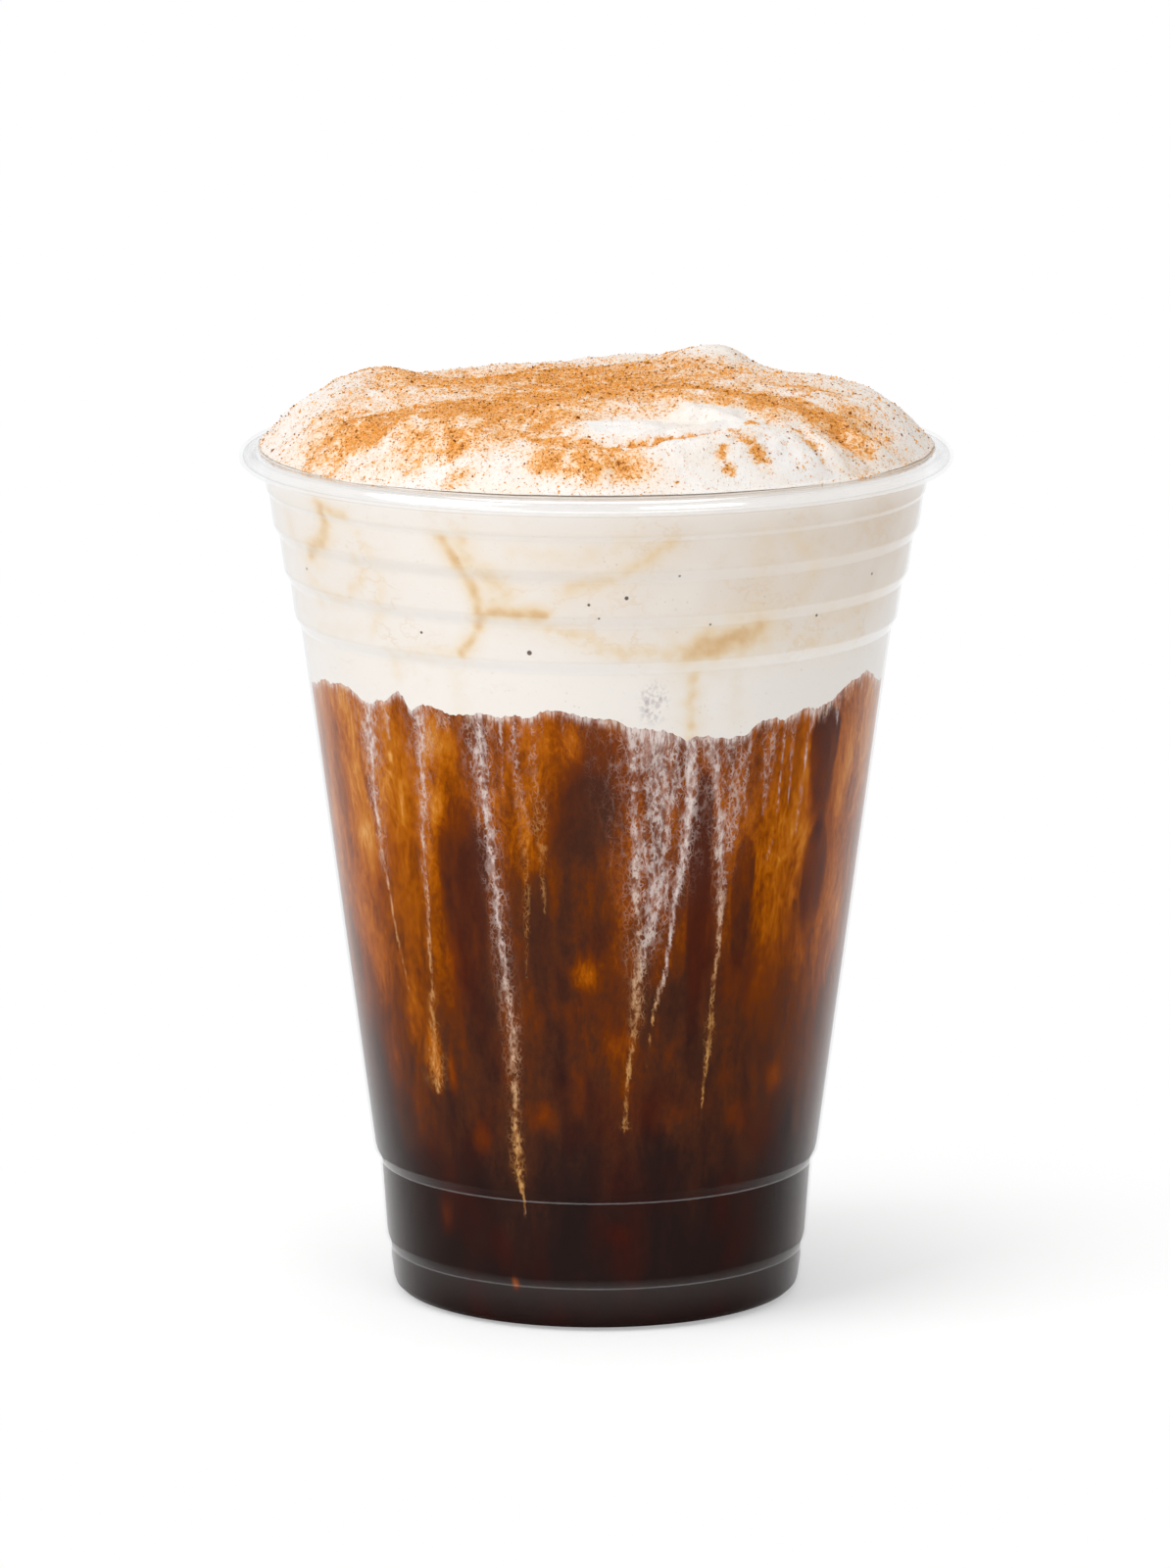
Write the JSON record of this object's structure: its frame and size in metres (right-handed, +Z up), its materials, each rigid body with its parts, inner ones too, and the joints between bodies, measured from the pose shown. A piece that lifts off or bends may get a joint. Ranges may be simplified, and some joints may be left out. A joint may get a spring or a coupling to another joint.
{
  "type": "iced americano with cold foam in a clear plastic cup",
  "caption": "Tapered clear plastic cup with a rolled rim and stacking shoulders, filled with dark coffee under a thick layer of white cold foam that domes above the rim.",
  "frame": {"origin": "centre of the cup's foot ring, at the surface it stands on", "axes": "+Z up along the cup's axis, -Y towards the viewer of the front, +X to the viewer's right"},
  "size_m": [0.098, 0.098, 0.13],
  "materials": {
    "clear_plastic": "clear, glossy, thin formed sheet",
    "coffee": "dark brown liquid, paler and more orange towards the foam",
    "milk_foam": "smooth white milk foam dusted with orange-brown cinnamon"
  },
  "bodies": {
    "root": {"cup": "clear_plastic", "coffee": "coffee", "cold_foam": "milk_foam"}
  },
  "joints": []
}
